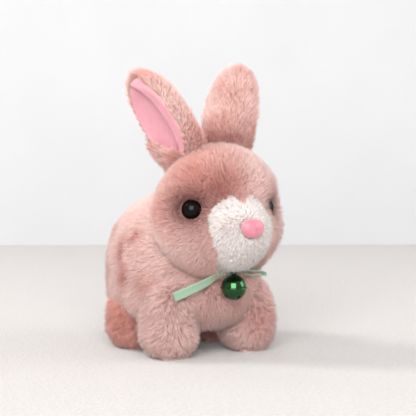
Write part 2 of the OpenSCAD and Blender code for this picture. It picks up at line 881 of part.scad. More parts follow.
body_plush();
tail_plush();
head_plush();
muzzle_plush();
ear_plush(-1);  // ear_plush_right
ear_plush(1);  // ear_plush_left
ear_lining(-1);  // ear_lining_right
ear_lining(1);  // ear_lining_left
ear_stay(-1);  // ear_stay_right
ear_stay(1);  // ear_stay_left
ear_pins();
ear_yoke();
leg_plush(-1, front_at, front_semi);  // front_leg_plush_right
leg_plush(1, front_at, front_semi);  // front_leg_plush_left
leg_plush(-1, rear_at, rear_semi);  // rear_leg_plush_right
leg_plush(1, rear_at, rear_semi);  // rear_leg_plush_left
front_leg_frame(-1);  // front_leg_frame_right
front_leg_frame(1);  // front_leg_frame_left
rear_leg_frame(-1);  // rear_leg_frame_right
rear_leg_frame(1);  // rear_leg_frame_left
sole(-1, front_y0);  // front_sole_right
sole(1, front_y0);  // front_sole_left
sole(-1, rear_y0);  // rear_sole_right
sole(1, rear_y0);  // rear_sole_left
leg_pins();
coupler_rod(-1);  // coupler_rod_right
coupler_rod(1);  // coupler_rod_left
lower_housing();
upper_housing();
housing_screws();
battery_door();
door_screw();
battery_cells();
contact_springs();
contact_plate();
switch_body();
switch_slider();
circuit_board();
speaker();
motor();
motor_pinion();
reduction_gear();
gear_pin();
crank_shaft();
crank_gear();
crank_disc(-1);  // crank_disc_right
crank_disc(1);  // crank_disc_left
neck_bracket();
neck_pin();
head_shell_front();
head_shell_back();
eyes();
eye_washers();
nose();
nose_lever();
nose_pin();
ribbon();
bell_upper();
bell_lower();
bell_pellet();
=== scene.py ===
"""The looks of the walking plush bunny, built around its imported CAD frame.

Shapes are worked out in millimetres, in the frame's own axes, and become metres when a mesh is made.
"""

import json
import math

import bpy
import numpy as np
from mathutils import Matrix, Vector
from mathutils.kdtree import KDTree


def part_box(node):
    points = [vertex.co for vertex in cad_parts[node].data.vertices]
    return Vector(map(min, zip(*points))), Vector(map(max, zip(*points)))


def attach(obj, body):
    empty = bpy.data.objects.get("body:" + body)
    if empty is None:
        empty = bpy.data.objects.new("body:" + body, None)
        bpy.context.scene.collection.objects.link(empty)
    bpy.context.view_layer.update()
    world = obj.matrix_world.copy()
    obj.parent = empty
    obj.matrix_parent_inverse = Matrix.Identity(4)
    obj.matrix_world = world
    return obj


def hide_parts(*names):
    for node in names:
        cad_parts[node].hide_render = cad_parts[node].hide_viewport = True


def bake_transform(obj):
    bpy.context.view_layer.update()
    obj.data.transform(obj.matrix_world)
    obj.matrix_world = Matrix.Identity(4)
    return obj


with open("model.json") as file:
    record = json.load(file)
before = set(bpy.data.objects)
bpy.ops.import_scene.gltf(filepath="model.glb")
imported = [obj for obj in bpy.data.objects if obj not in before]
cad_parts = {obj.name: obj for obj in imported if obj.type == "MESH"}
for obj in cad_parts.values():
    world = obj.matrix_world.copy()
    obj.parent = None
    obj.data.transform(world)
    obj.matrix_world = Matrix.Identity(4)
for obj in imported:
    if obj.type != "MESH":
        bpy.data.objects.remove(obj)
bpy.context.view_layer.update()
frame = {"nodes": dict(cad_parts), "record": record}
MM = 0.001
SIDES = {"right": -1, "left": 1}


def box_mm(node):
    """A node's lowest and highest corners, in millimetres."""
    low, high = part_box(node)
    return np.array(low) / MM, np.array(high) / MM


def middle(node):
    low, high = box_mm(node)
    return (low + high) / 2


# ---- Camera, light and stage -------------------------------------------------

CAMERA_TURN = math.radians(-30)
CAMERA_REACH = 0.700
CAMERA_HEIGHT = 0.124
CAMERA_LENS = 99.2
AIM_DOWN = math.radians(3.10)
AIM_RIGHT = math.radians(0.90)


def make_camera():
    data = bpy.data.cameras.new("camera")
    data.lens = CAMERA_LENS
    data.sensor_width = 36
    data.clip_start = 0.01
    camera = bpy.data.objects.new("camera", data)
    back = Vector((math.sin(CAMERA_TURN), -math.cos(CAMERA_TURN), 0))
    camera.location = back * CAMERA_REACH + Vector((0, 0, CAMERA_HEIGHT))
    camera.rotation_euler = (math.pi / 2 - AIM_DOWN, 0, CAMERA_TURN - AIM_RIGHT)
    bpy.context.scene.collection.objects.link(camera)
    bpy.context.scene.camera = camera


def area_light(name, place, size, power, colour=(1, 1, 1)):
    data = bpy.data.lights.new(name, "AREA")
    data.size = size
    data.energy = power
    data.color = colour
    light = bpy.data.objects.new(name, data)
    light.location = place
    to_object = Vector((0, 0, 0.08)) - Vector(place)
    light.rotation_euler = to_object.to_track_quat("-Z", "Y").to_euler()
    bpy.context.scene.collection.objects.link(light)


def make_world():
    world = bpy.data.worlds.new("studio")
    world.use_nodes = True
    sky = world.node_tree.nodes["Background"]
    sky.inputs["Color"].default_value = (1.0, 0.985, 0.97, 1)
    sky.inputs["Strength"].default_value = 0.66
    bpy.context.scene.world = world
    bpy.context.scene.view_settings.view_transform = "Standard"


# ---- Materials ---------------------------------------------------------------


class Nodes:
    """A short way to write a material's node tree."""

    def __init__(self, name):
        self.material = bpy.data.materials.new(name)
        self.material.use_nodes = True
        self.tree = self.material.node_tree
        self.shader = self.tree.nodes["Principled BSDF"]

    def add(self, kind, **settings):
        node = self.tree.nodes.new(kind)
        for key, value in settings.items():
            if key[0].isupper():
                node.inputs[key.replace("_", " ")].default_value = value
            else:
                setattr(node, key, value)
        return node

    def link(self, a, b):
        self.tree.links.new(a, b)

    def feed(self, socket, value):
        self.link(value, self.shader.inputs[socket])

    def set(self, **sockets):
        for key, value in sockets.items():
            self.shader.inputs[key.replace("_", " ")].default_value = value

    def noise(self, scale, detail=3.0, rough=0.55):
        """Noise that stays with the piece; the scale is in lumps to a metre."""
        node = self.add("ShaderNodeTexNoise", Scale=scale, Detail=detail, Roughness=rough)
        self.link(self.add("ShaderNodeTexCoord").outputs["Object"], node.inputs["Vector"])
        return node.outputs["Fac"]

    def ramp(self, factor, stops):
        node = self.add("ShaderNodeValToRGB")
        ramp = node.color_ramp
        while len(ramp.elements) < len(stops):
            ramp.elements.new(0.5)
        for element, (at, colour) in zip(ramp.elements, stops):
            element.position = at
            element.color = (*colour, 1)
        self.link(factor, node.inputs["Fac"])
        return node.outputs["Color"]

    def remap(self, value, low, high):
        node = self.add("ShaderNodeMapRange")
        node.inputs["To Min"].default_value = low
        node.inputs["To Max"].default_value = high
        self.link(value, node.inputs["Value"])
        return node.outputs["Result"]

    def multiply(self, a, b):
        node = self.add("ShaderNodeMix", data_type="RGBA", blend_type="MULTIPLY")
        node.inputs["Factor"].default_value = 1
        self.link(a, node.inputs["A"])
        self.link(b, node.inputs["B"])
        return node.outputs["Result"]

    def bump(self, height, distance, strength=1.0):
        node = self.add("ShaderNodeBump", Strength=strength, Distance=distance)
        self.link(height, node.inputs["Height"])
        self.feed("Normal", node.outputs["Normal"])


def shade(colour, factor):
    return tuple(min(1.0, c * factor) for c in colour)


def plastic(name, colour, rough=0.42, grain=1400):
    """Moulded plastic: a fine spark-eroded grain, and slight cloudiness in colour and gloss."""
    n = Nodes(name)
    cloud = n.noise(60, 2)
    tone = n.ramp(cloud, [(0.3, shade(colour, 0.93)), (0.7, shade(colour, 1.05))])
    n.feed("Base Color", tone)
    n.feed("Roughness", n.remap(n.noise(220), rough - 0.08, rough + 0.1))
    n.bump(n.noise(grain), 0.00004, 0.5)
    return n.material


def metal(name, colour, rough=0.25):
    """Bright metal with fine drawn marks."""
    n = Nodes(name)
    n.set(Metallic=1.0)
    tone = n.ramp(n.noise(90, 2), [(0.3, shade(colour, 0.88)), (0.7, colour)])
    n.feed("Base Color", tone)
    n.feed("Roughness", n.remap(n.noise(700), rough - 0.08, rough + 0.12))
    n.bump(n.noise(1600), 0.00002, 0.4)
    return n.material


def coat_fur():
    """Pile: each strand's own colour, darker at its root and paler at its tip, which is painted shade deep
    in the pile.
    """
    n = Nodes("plush_pile")
    coat = n.add("ShaderNodeAttribute", attribute_name="coat").outputs["Color"]
    along = n.add("ShaderNodeAttribute", attribute_name="along").outputs["Fac"]
    # Painted shade: each strand darkens from its tip down to its root, as if shaded deep in the pile.
    depth = n.ramp(along, [(0.0, (0.66, 0.58, 0.57)), (0.45, (0.90, 0.87, 0.87)), (1.0, (1.0, 1.0, 1.0))])
    fleck = n.ramp(n.noise(900, 2), [(0.3, (0.93, 0.92, 0.92)), (0.7, (1.0, 1.0, 1.0))])
    n.feed("Base Color", n.multiply(n.multiply(coat, depth), fleck))
    n.set(Roughness=0.8, Sheen_Weight=0.25, Sheen_Roughness=0.4, Specular_IOR_Level=0.25)
    return n.material


def backing_cloth():
    """The knitted backing that the pile stands in, in the pile's colour darkened with painted shade, as if
    shaded by the strands above it.
    """
    n = Nodes("plush_backing")
    coat = n.add("ShaderNodeAttribute", attribute_name="coat").outputs["Color"]
    # Fine knit tone with painted shade: the backing stays at two thirds to four fifths of the pile's
    # colour, so the gaps between strands look shaded.
    knit_and_gap_shade = n.ramp(n.noise(1500, 2), [(0.3, (0.66, 0.62, 0.62)), (0.7, (0.82, 0.80, 0.80))])
    n.feed("Base Color", n.multiply(coat, knit_and_gap_shade))
    n.set(Roughness=0.95, Sheen_Weight=0.2, Specular_IOR_Level=0.1)
    n.bump(n.noise(1500), 0.0002, 0.6)
    return n.material


def short_velvet(name, colour, sheen=0.6):
    """Very short velvet: soft sheen, a fine nap and faint brushed patches."""
    n = Nodes(name)
    nap = n.noise(2600, 3)
    brushed = n.noise(110, 3)
    tone = n.ramp(brushed, [(0.25, shade(colour, 0.90)), (0.75, shade(colour, 1.06))])
    fleck = n.ramp(nap, [(0.3, (0.93, 0.91, 0.92)), (0.7, (1, 1, 1))])
    n.feed("Base Color", n.multiply(tone, fleck))
    n.set(Roughness=0.62, Sheen_Weight=sheen, Sheen_Roughness=0.35)
    n.bump(nap, 0.00012, 0.5)
    return n.material


def satin_ribbon():
    """Woven satin: fine ribs across the ribbon and a silky shine."""
    n = Nodes("ribbon_satin")
    colour = (0.25, 0.375, 0.27)
    rib = n.add("ShaderNodeTexWave", wave_type="BANDS", bands_direction="X", Scale=900, Distortion=0.4)
    uv = n.add("ShaderNodeUVMap", uv_map="weave")
    n.link(uv.outputs["UV"], rib.inputs["Vector"])
    tone = n.ramp(rib.outputs["Fac"], [(0.2, shade(colour, 0.9)), (0.8, shade(colour, 1.08))])
    wash = n.ramp(n.noise(160), [(0.3, (0.92, 0.95, 0.93)), (0.7, (1, 1, 1))])
    n.feed("Base Color", n.multiply(tone, wash))
    n.set(Roughness=0.38, Sheen_Weight=0.2, Anisotropic=0.5)
    n.bump(rib.outputs["Fac"], 0.00003, 0.4)
    return n.material


def green_lacquer():
    """Green transparent lacquer over bright metal, with faint spun marks."""
    n = Nodes("bell_lacquer")
    n.set(Metallic=1.0, Coat_Weight=0.8, Coat_Roughness=0.02)
    tone = n.ramp(n.noise(90, 2), [(0.3, (0.001, 0.05, 0.004)), (0.7, (0.003, 0.085, 0.010))])
    n.feed("Base Color", tone)
    n.feed("Roughness", n.remap(n.noise(500), 0.03, 0.09))
    n.bump(n.noise(350, 2), 0.00003, 0.3)
    return n.material


def glossy_eye():
    n = Nodes("eye_gloss_black")
    tone = n.ramp(n.noise(150, 2), [(0.3, (0.002, 0.0015, 0.0015)), (0.7, (0.006, 0.004, 0.0035))])
    n.feed("Base Color", tone)
    n.feed("Roughness", n.remap(n.noise(300), 0.06, 0.10))
    n.set(Specular_IOR_Level=0.12)
    return n.material


def nose_flock():
    """Soft-touch moulded nose: pink, half matt, with a fine grain."""
    n = Nodes("nose_soft_gloss")
    tone = n.ramp(n.noise(120, 2), [(0.3, (0.49, 0.15, 0.205)), (0.7, (0.55, 0.185, 0.24))])
    n.feed("Base Color", tone)
    n.feed("Roughness", n.remap(n.noise(400), 0.34, 0.5))
    n.set(Sheen_Weight=0.3, Coat_Weight=0.15, Coat_Roughness=0.3)
    n.bump(n.noise(1800), 0.00005, 0.5)
    return n.material


def rug_cloth():
    n = Nodes("floor_fleece")
    tuft = n.noise(420, 5, 0.65)
    tone = n.ramp(tuft, [(0.3, (0.47, 0.45, 0.44)), (0.7, (0.55, 0.53, 0.52))])
    n.feed("Base Color", tone)
    n.set(Roughness=1.0, Sheen_Weight=0.3, Specular_IOR_Level=0.1)
    n.bump(tuft, 0.0022, 0.7)
    return n.material


def wall_paint():
    n = Nodes("wall_paint")
    tone = n.ramp(n.noise(8, 2), [(0.3, (0.55, 0.56, 0.575)), (0.7, (0.57, 0.58, 0.595))])
    n.feed("Base Color", tone)
    n.set(Roughness=0.9)
    return n.material


# ---- Meshes from arrays ------------------------------------------------------


def mesh_object(name, points_mm, faces, material, smooth=True):
    """A mesh object from points in millimetres and arrays of faces, one array for each corner count."""
    mesh = bpy.data.meshes.new(name)
    mesh.vertices.add(len(points_mm))
    mesh.vertices.foreach_set("co", (np.asarray(points_mm) * MM).astype(np.float32).ravel())
    corners = np.concatenate([f.ravel() for f in faces])
    totals = np.concatenate([np.full(len(f), f.shape[1]) for f in faces])
    starts = np.concatenate([[0], np.cumsum(totals)[:-1]])
    mesh.loops.add(len(corners))
    mesh.loops.foreach_set("vertex_index", corners.astype(np.int32))
    mesh.polygons.add(len(totals))
    mesh.polygons.foreach_set("loop_start", starts.astype(np.int32))
    mesh.polygons.foreach_set("loop_total", totals.astype(np.int32))
    mesh.polygons.foreach_set("use_smooth", np.full(len(totals), smooth))
    mesh.update(calc_edges=True)
    mesh.materials.append(material)
    item = bpy.data.objects.new(name, mesh)
    bpy.context.scene.collection.objects.link(item)
    return item


def paint(item, name, values, kind):
    """A value or a colour for each vertex, for the materials to read."""
    attribute = item.data.attributes.new(name, kind, "POINT")
    if kind == "FLOAT_COLOR":
        values = np.concatenate([values, np.ones((len(values), 1))], 1)
        attribute.data.foreach_set("color", values.astype(np.float32).ravel())
    else:
        attribute.data.foreach_set("value", values.astype(np.float32))


def unit(v):
    return v / np.maximum(np.linalg.norm(v, axis=-1, keepdims=True), 1e-9)


def power_of(v, p):
    return np.sign(v) * np.abs(v) ** p


class Skin:
    """A closed surface: points, faces with three and four corners, and a normal at each point."""

    def __init__(self, points, quads, tris):
        self.points, self.quads, self.tris = points, quads, tris

    def triangles(self):
        return np.concatenate([self.quads[:, [0, 1, 2]], self.quads[:, [0, 2, 3]], self.tris])

    def normals(self):
        t = self.triangles()
        p = self.points
        cross = np.cross(p[t[:, 1]] - p[t[:, 0]], p[t[:, 2]] - p[t[:, 0]])
        total = np.zeros_like(p)
        for k in range(3):
            np.add.at(total, t[:, k], cross)
        return unit(total)

    def patch(self, mask, rise):
        """The quads that the mask picks, raised off the skin, with only the points that they use."""
        used = np.unique(self.quads[mask])
        renumber = np.zeros(len(self.points), int)
        renumber[used] = np.arange(len(used))
        raised = self.points + self.normals() * rise
        return Skin(raised[used], renumber[self.quads[mask]], self.tris[:0])


def ball(centre, semi, power=2.0, rings=40, sides=64, low_power=None):
    """A superellipsoid with its poles on Z, whose lower half can be fuller."""
    u = np.linspace(-np.pi / 2, np.pi / 2, rings + 1)[1:-1]
    v = np.linspace(0, 2 * np.pi, sides, endpoint=False)
    u, v = np.meshgrid(u, v, indexing="ij")
    p = 2 / power
    rise = np.where(u < 0, 2 / (low_power or power), p)
    x = power_of(np.cos(u), rise) * power_of(np.cos(v), p)
    y = power_of(np.cos(u), rise) * power_of(np.sin(v), p)
    z = power_of(np.sin(u), rise)
    points = np.stack([x, y, z], -1).reshape(-1, 3)
    points = np.concatenate([[[0, 0, -1]], points, [[0, 0, 1]]]) * semi + centre
    rows = 1 + np.arange((rings - 1) * sides).reshape(rings - 1, sides)
    nxt = np.roll(rows, -1, axis=1)
    quads = np.stack([rows[:-1], nxt[:-1], nxt[1:], rows[1:]], -1).reshape(-1, 4)
    top = len(points) - 1
    low = np.stack([np.zeros(sides, int), nxt[0], rows[0]], -1)
    high = np.stack([np.full(sides, top), rows[-1], nxt[-1]], -1)
    return Skin(points, quads, np.concatenate([low, high]))


def inside(points, centre, semi, power=2.0):
    """Below 1 inside a superellipsoid, and 1 on it."""
    q = np.abs((points - centre) / semi) ** power
    return q.sum(-1) ** (1 / power)


def noise3(points, scale, seed):
    """Smooth random values from 0 to 1, with lumps about scale wide."""
    n = 32
    lattice = np.random.default_rng(seed).random((n, n, n))
    q = points / scale + 100
    i = np.floor(q).astype(int)
    f = q - i
    f = f * f * (3 - 2 * f)
    total = np.zeros(len(points))
    for corner in np.ndindex(2, 2, 2):
        c = np.array(corner)
        weight = np.where(c, f, 1 - f).prod(-1)
        j = (i + c) % n
        total += weight * lattice[j[:, 0], j[:, 1], j[:, 2]]
    return total


def lumps(points, scale, seed):
    """Three octaves of noise, spread to fill 0 to 1."""
    total = sum(noise3(points, scale / 2**k, seed + k) / 2**k for k in range(3)) / 1.75
    return np.clip((total - 0.5) * 2.2 + 0.5, 0, 1)


def near(points, centre, reach):
    """1 at a place, falling smoothly to 0 at about twice the reach."""
    q = (points - np.array(centre)) / np.array(reach)
    return np.exp(-(q * q).sum(-1))


def mix(a, b, t):
    t = np.clip(t, 0, 1)[:, None]
    return np.asarray(a) * (1 - t) + np.asarray(b) * t


# ---- Pile --------------------------------------------------------------------

STRANDS_PER_PIECE = 21000
FLOOR_GAP = 0.3
DENSITY = 5.0


class Coat:
    """How the pile of one part grows: its length, lean, colour and direction."""

    def __init__(self, seed, length, flow, colour, lift=0.62, width=0.2, density=1.0, clump=0.2,
                 ruffle=0.2, keep=None):
        self.rng = np.random.default_rng(seed)
        self.length, self.flow, self.colour, self.keep = length, flow, colour, keep
        self.lift, self.width, self.density, self.clump, self.ruffle = lift, width, density, clump, ruffle


def scatter(skin, density, rng):
    """Root places spread evenly over a skin, with the normals there."""
    t = skin.triangles()
    p, n = skin.points, skin.normals()
    area = np.linalg.norm(np.cross(p[t[:, 1]] - p[t[:, 0]], p[t[:, 2]] - p[t[:, 0]]), axis=1) / 2
    count = int(area.sum() * density)
    face = np.searchsorted(np.cumsum(area) / area.sum(), rng.random(count))
    face = np.clip(face, 0, len(t) - 1)
    a, b = rng.random(count), rng.random(count)
    over = a + b > 1
    a[over], b[over] = 1 - a[over], 1 - b[over]
    weights = np.stack([1 - a - b, a, b], -1)[:, :, None]
    return (p[t[face]] * weights).sum(1), unit((n[t[face]] * weights).sum(1))


def clump_of(roots, rng, spacing=22):
    """For each root, the number of the nearest tuft's middle."""
    middles = rng.choice(len(roots), max(1, len(roots) // spacing), replace=False)
    tree = KDTree(len(middles))
    for m in middles:
        tree.insert(roots[m], int(m))
    tree.balance()
    return np.array([tree.find(r)[1] for r in roots])


def strand_curves(coat, roots, normals):
    """Root, middle and tip of every strand, gathered in tufts."""
    rng = coat.rng
    flow = coat.flow(roots, normals)
    flow = unit(flow - normals * (flow * normals).sum(-1, keepdims=True))
    ruffle = np.stack([noise3(roots, 7.0, 900 + k) - 0.5 for k in range(3)], -1)
    strew = ruffle * coat.ruffle + rng.normal(0, 0.13, roots.shape)
    lean = unit(normals * coat.lift + flow * (1 - coat.lift) + strew)
    length = coat.length(roots) if callable(coat.length) else coat.length
    length = length * (0.86 + 0.28 * rng.random(len(roots))) * (0.9 + 0.2 * noise3(roots, 5.0, 77))
    length = length[:, None]
    tips = roots + lean * length
    home = clump_of(roots, rng)
    share = (coat.clump * (0.5 + rng.random(len(roots))))[:, None]
    tips = tips * (1 - share) + (tips[home]) * share
    middles = (roots + tips) / 2 + normals * 0.10 * length
    tips[:, 2] = np.maximum(tips[:, 2], FLOOR_GAP)
    middles[:, 2] = np.maximum(middles[:, 2], FLOOR_GAP)
    return middles, tips


def grow(name, coat, skin, body, blend=None):
    """Real strands over a skin, as pieces of a limited size, and what they ride on."""
    roots, normals = scatter(skin, DENSITY * coat.density, coat.rng)
    if coat.keep is not None:
        kept = coat.keep(roots, normals)
        roots, normals = roots[kept], normals[kept]
    order = np.argsort(roots[:, 1] + 0.2 * roots[:, 2])
    roots, normals = roots[order], normals[order]
    middles, tips = strand_curves(coat, roots, normals)
    colours = coat.colour(roots) * (0.86 + 0.28 * coat.rng.random((len(roots), 1)))
    chunks = np.array_split(np.arange(len(roots)), max(1, math.ceil(len(roots) / STRANDS_PER_PIECE)))
    for k, chunk in enumerate(chunks):
        title = name if len(chunks) == 1 else f"{name}_{k + 1}"
        item = strand_mesh(title, roots[chunk], middles[chunk], tips[chunk], colours[chunk], coat)
        if blend:
            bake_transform(item)
        else:
            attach(item, body)


def strand_mesh(name, roots, middles, tips, colours, coat):
    """Three-sided tapered strands with a bend in the middle."""
    count = len(roots)
    axis = unit(tips - roots)
    helper = np.where(np.abs(axis[:, :1]) < 0.8, [[1.0, 0, 0]], [[0, 1.0, 0]])
    side = unit(np.cross(axis, helper))
    other = np.cross(axis, side)
    turn = coat.rng.random(count) * 2 * np.pi
    radius = coat.width / 2 * (0.8 + 0.4 * coat.rng.random((count, 1)))
    rows = []
    for at, thick in ((roots - axis * 0.6, 1.0), (middles, 0.8)):
        for k in range(3):
            a = (turn + k * 2 * np.pi / 3)[:, None]
            rows.append(at + (side * np.cos(a) + other * np.sin(a)) * radius * thick)
    rows.append(tips)
    points = np.stack(rows, 1).reshape(-1, 3)
    base = (np.arange(count) * 7)[:, None]
    quads = np.concatenate([base + [k, (k + 1) % 3, 3 + (k + 1) % 3, 3 + k] for k in range(3)])
    tris = np.concatenate([base + [3 + k, 3 + (k + 1) % 3, 6] for k in range(3)])
    item = mesh_object(name, points, [quads, tris], PILE)
    paint(item, "coat", np.repeat(colours, 7, axis=0), "FLOAT_COLOR")
    paint(item, "along", np.tile([0, 0, 0, 0.5, 0.5, 0.5, 1.0], count), "FLOAT")
    bake_cells(item, count)
    return item


def bake_cells(item, count):
    """A UV layer that gives each strand a small cell of its own, root to tip."""
    across = math.ceil(math.sqrt(count))
    cell = 1 / across
    k = np.arange(count)
    low = np.stack([k % across, k // across], -1) * cell
    quad_uv = np.array([[0.25, 0.2], [0.75, 0.2], [0.75, 0.5], [0.25, 0.5]]) * cell
    tri_uv = np.array([[0.25, 0.5], [0.75, 0.5], [0.5, 0.85]]) * cell
    quads = np.tile(low, (3, 1))[:, None, :] + quad_uv
    tris = np.tile(low, (3, 1))[:, None, :] + tri_uv
    layer = item.data.uv_layers.new(name="OFBake")
    uv = np.concatenate([quads.reshape(-1, 2), tris.reshape(-1, 2)])
    layer.data.foreach_set("uv", uv.astype(np.float32).ravel())


def skin_piece(name, skin, colour, body, nodes=(), blend=None):
    """The backing under the pile, which stands for the CAD solids named."""
    item = mesh_object(name, skin.points, [f for f in (skin.quads, skin.tris) if len(f)], BACKING)
    paint(item, "coat", colour(skin.points), "FLOAT_COLOR")
    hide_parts(*nodes)
    if blend:
        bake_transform(item)
    else:
        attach(item, body)


# ---- Coat colours, linear ----------------------------------------------------

PALE = np.array([0.90, 0.66, 0.61])
ROSE = np.array([0.74, 0.40, 0.35])
BROWN = np.array([0.42, 0.15, 0.12])
SALMON = np.array([0.68, 0.29, 0.23])
MAUVE = np.array([0.70, 0.45, 0.42])
WHITE = np.array([0.95, 0.92, 0.90])

# ---- Shape of the plush, in millimetres --------------------------------------

PILE_DEPTH = 4.0
TRUNK_AT = np.array([0.0, 10.0, 50.0])
TRUNK_SEMI = np.array([42.0, 53.0, 45.0])
TRUNK_DROP = 35.0
TRUNK_POWER, TRUNK_LOW_POWER = 2.1, 3.6
HEAD_AT = np.array([0.0, -36.0, 85.5])
HEAD_SEMI = np.array([40.2, 31.0, 39.0])
HEAD_FRONT = 25.5
HEAD_TOP = 38.0
HEAD_TAPER = 0.10
MUZZLE_AT = np.array([0.0, -51.5, 75.0])
MUZZLE_SEMI = np.array([23.0, 18.0, 22.5])
EYE_AT = np.array([24.5, -44.5, 88.0])
EYE_WAY = np.array([0.80, -0.60, 0.04])
EYE_R = 6.0
NOSE_AT = middle("nose")
LEGS = {
    "front": (np.array([27.0, -22.0, 24.0]), np.array([16.5, 17.0, 24.0])),
    "rear": (np.array([28.0, 20.0, 19.0]), np.array([16.0, 18.0, 19.0])),
}
LEG_POWER = 2.6
EAR_SEMI = {"right": np.array([18.5, 10.0, 32.2]), "left": np.array([17.8, 10.0, 34.2])}
EAR_ROOT = 6.0
EAR_BASE = {"right": np.array([15.0, -22.0, 116.0]), "left": np.array([12.5, -19.5, 116.0])}
EAR_TURN = {"right": 70, "left": 105}
EAR_LEAN_BACK = 17.3
EAR_LEAN_OUT = {"right": 27, "left": 20}
TAIL_R = 11.0
BELLY_Z = 19.2


def mirrored(place, s):
    return np.asarray(place) * [s, 1, 1]


def spots(p, colour, dark, places, scale, seed):
    """Soft ragged blotches of a darker colour: place, reach and depth of each."""
    rag = lumps(p, scale, seed)
    strayed = p + 14 * (np.stack([noise3(p, 13, seed + 5 + k) for k in range(3)], -1) - 0.5)
    for at, reach, depth in places:
        colour = mix(colour, dark, near(strayed, at, reach) * (0.2 + 1.1 * rag) * depth)
    return colour


# Where the trunk's darker blotches are, how far each reaches and how deep its colour is
TRUNK_BLOTCHES = (
    ((-41, 9, 52), (12, 5.5, 14), 1.5),
    ((-36, -4, 69), (10, 3.5, 5.5), 1.2),
    ((-38, 40, 40), (12, 9, 12), 0.8),
    ((-36, -12, 40), (12, 7, 9), 0.6),
    ((-34, 26, 74), (12, 5, 7), 0.9),
    ((36, 16, 54), (13, 7, 15), 0.9),
    ((0, 36, 92), (14, 8, 12), 0.9),
    ((-22, 54, 64), (12, 12, 12), 0.7),
    ((38, -10, 32), (12, 8, 10), 0.9),
    ((24, 50, 44), (12, 12, 10), 0.7),
    ((14, 8, 95), (10, 8, 10), 0.6),
)


def coat_of_trunk(p):
    colour = mix(PALE, ROSE, lumps(p, 20, 11) * 0.62)
    colour = spots(p, colour, ROSE * [0.80, 0.62, 0.60], TRUNK_BLOTCHES, 9, 31)
    # Painted shade: a darker mauve low on the chest, under the head and between the front legs.
    return mix(colour, MAUVE * 0.85, near(p, (0, -46, 28), (22, 14, 14)) * 0.6)


def coat_of_head(p):
    tone = lumps(p, 17, 21)
    side = np.clip((p[:, 0] + 4) / 18, 0, 1) * np.clip((p[:, 2] - 60) / 20, 0, 1)
    colour = mix(ROSE, PALE, 0.42 + 0.6 * side + 0.5 * (tone - 0.5))
    colour = mix(colour, PALE * 1.04, near(p, (-32, -44, 66), (20, 20, 15)) * 0.85)
    colour = mix(colour, SALMON, near(p, (-37, -26, 88), (11, 13, 13)) * 0.35)
    for s, depth in ((-1, 1.0), (1, 0.45)):
        colour = mix(colour, BROWN, near(p, mirrored(EYE_AT + [0, -4, 3], s), (12, 12, 12)) * depth)
    colour = mix(colour, BROWN * 1.1, near(p, (-11, -58, 99), (11, 12, 11)) * (0.75 + 0.25 * tone))
    colour = mix(colour, BROWN * 1.6, near(p, (-24, -46, 108), (12, 14, 9)) * 0.6)
    # Painted shade: a near-black ring in each eye socket, round the eye.
    for s in (-1, 1):
        colour = mix(colour, BROWN * 0.35, near(p, mirrored(EYE_AT, s), (7.6, 7.6, 7.6)) * 1.4)
    return colour


def coat_of_muzzle(p):
    return mix(WHITE, WHITE * [0.97, 0.94, 0.93], lumps(p, 9, 41))


def coat_of_ear(p):
    colour = mix(PALE, ROSE * [1.0, 0.92, 0.9], lumps(p, 13, 51) * 0.85)
    root = np.clip((140 - p[:, 2]) / 16, 0, 1) * (0.35 + 0.6 * (p[:, 0] > 0))
    return mix(colour, BROWN, root * (0.5 + 0.7 * lumps(p, 8, 55)))


def coat_of_front_leg(p):
    colour = mix(PALE * 1.02, MAUVE, 0.05 + 0.75 * lumps(p, 13, 61))
    return mix(colour, BROWN * 1.5, near(p, (27, -38, 20), (9, 9, 12)) * 0.5)


def coat_of_rear_leg(p):
    colour = mix(ROSE * 1.25, SALMON, 0.1 + 0.75 * lumps(p, 11, 71))
    return mix(colour, BROWN, near(p, mirrored((30, 2, 20), -1), (8, 9, 9)) * 0.5)


# ---- Trunk, tail and legs ----------------------------------------------------


def trunk_skin():
    """The trunk's backing, with a flat belly."""
    skin = ball(np.zeros(3), TRUNK_SEMI - PILE_DEPTH, TRUNK_POWER, 64, 96, TRUNK_LOW_POWER)
    p = skin.points
    p[:, 2] *= np.where(p[:, 2] < 0, (TRUNK_DROP - 2) / (TRUNK_SEMI[2] - PILE_DEPTH), 1)
    p += TRUNK_AT
    p[:, 2] = np.maximum(p[:, 2], BELLY_Z)
    return skin


def inside_trunk(p, inset=0.0):
    """Below 1 inside the trunk pulled in by the inset."""
    q = np.abs(p - TRUNK_AT) / (TRUNK_SEMI - inset)
    low = p[:, 2] < TRUNK_AT[2]
    q[low, 2] *= (TRUNK_SEMI[2] - inset) / (TRUNK_DROP - inset)
    ring = (q[:, 0] ** TRUNK_POWER + q[:, 1] ** TRUNK_POWER) ** (1 / TRUNK_POWER)
    power = np.where(low, TRUNK_LOW_POWER, TRUNK_POWER)
    return (ring**power + q[:, 2] ** power) ** (1 / power)


def inside_head(p, inset=0.0):
    """Below 1 inside the head pulled in by the inset, with its flatter face and narrower crown."""
    rise = np.clip(unit(p - HEAD_AT)[:, 2], 0, 1)
    semi = np.repeat([HEAD_SEMI], len(p), axis=0)
    semi[p[:, 1] < HEAD_AT[1], 1] = HEAD_FRONT
    semi[p[:, 2] > HEAD_AT[2], 2] = HEAD_TOP
    semi[:, 0] *= 1 - HEAD_TAPER * rise
    return np.linalg.norm((p - HEAD_AT) / (semi - inset), axis=-1)


def outside_head(p, margin=0.97):
    return (inside_head(p) > margin) & (inside(p, MUZZLE_AT, MUZZLE_SEMI) > margin)


def clear_of_legs(p, margin=0.66):
    free = np.ones(len(p), bool)
    for at, semi in LEGS.values():
        for s in (-1, 1):
            free &= inside(p, mirrored(at, s), semi, LEG_POWER) > margin
    return free


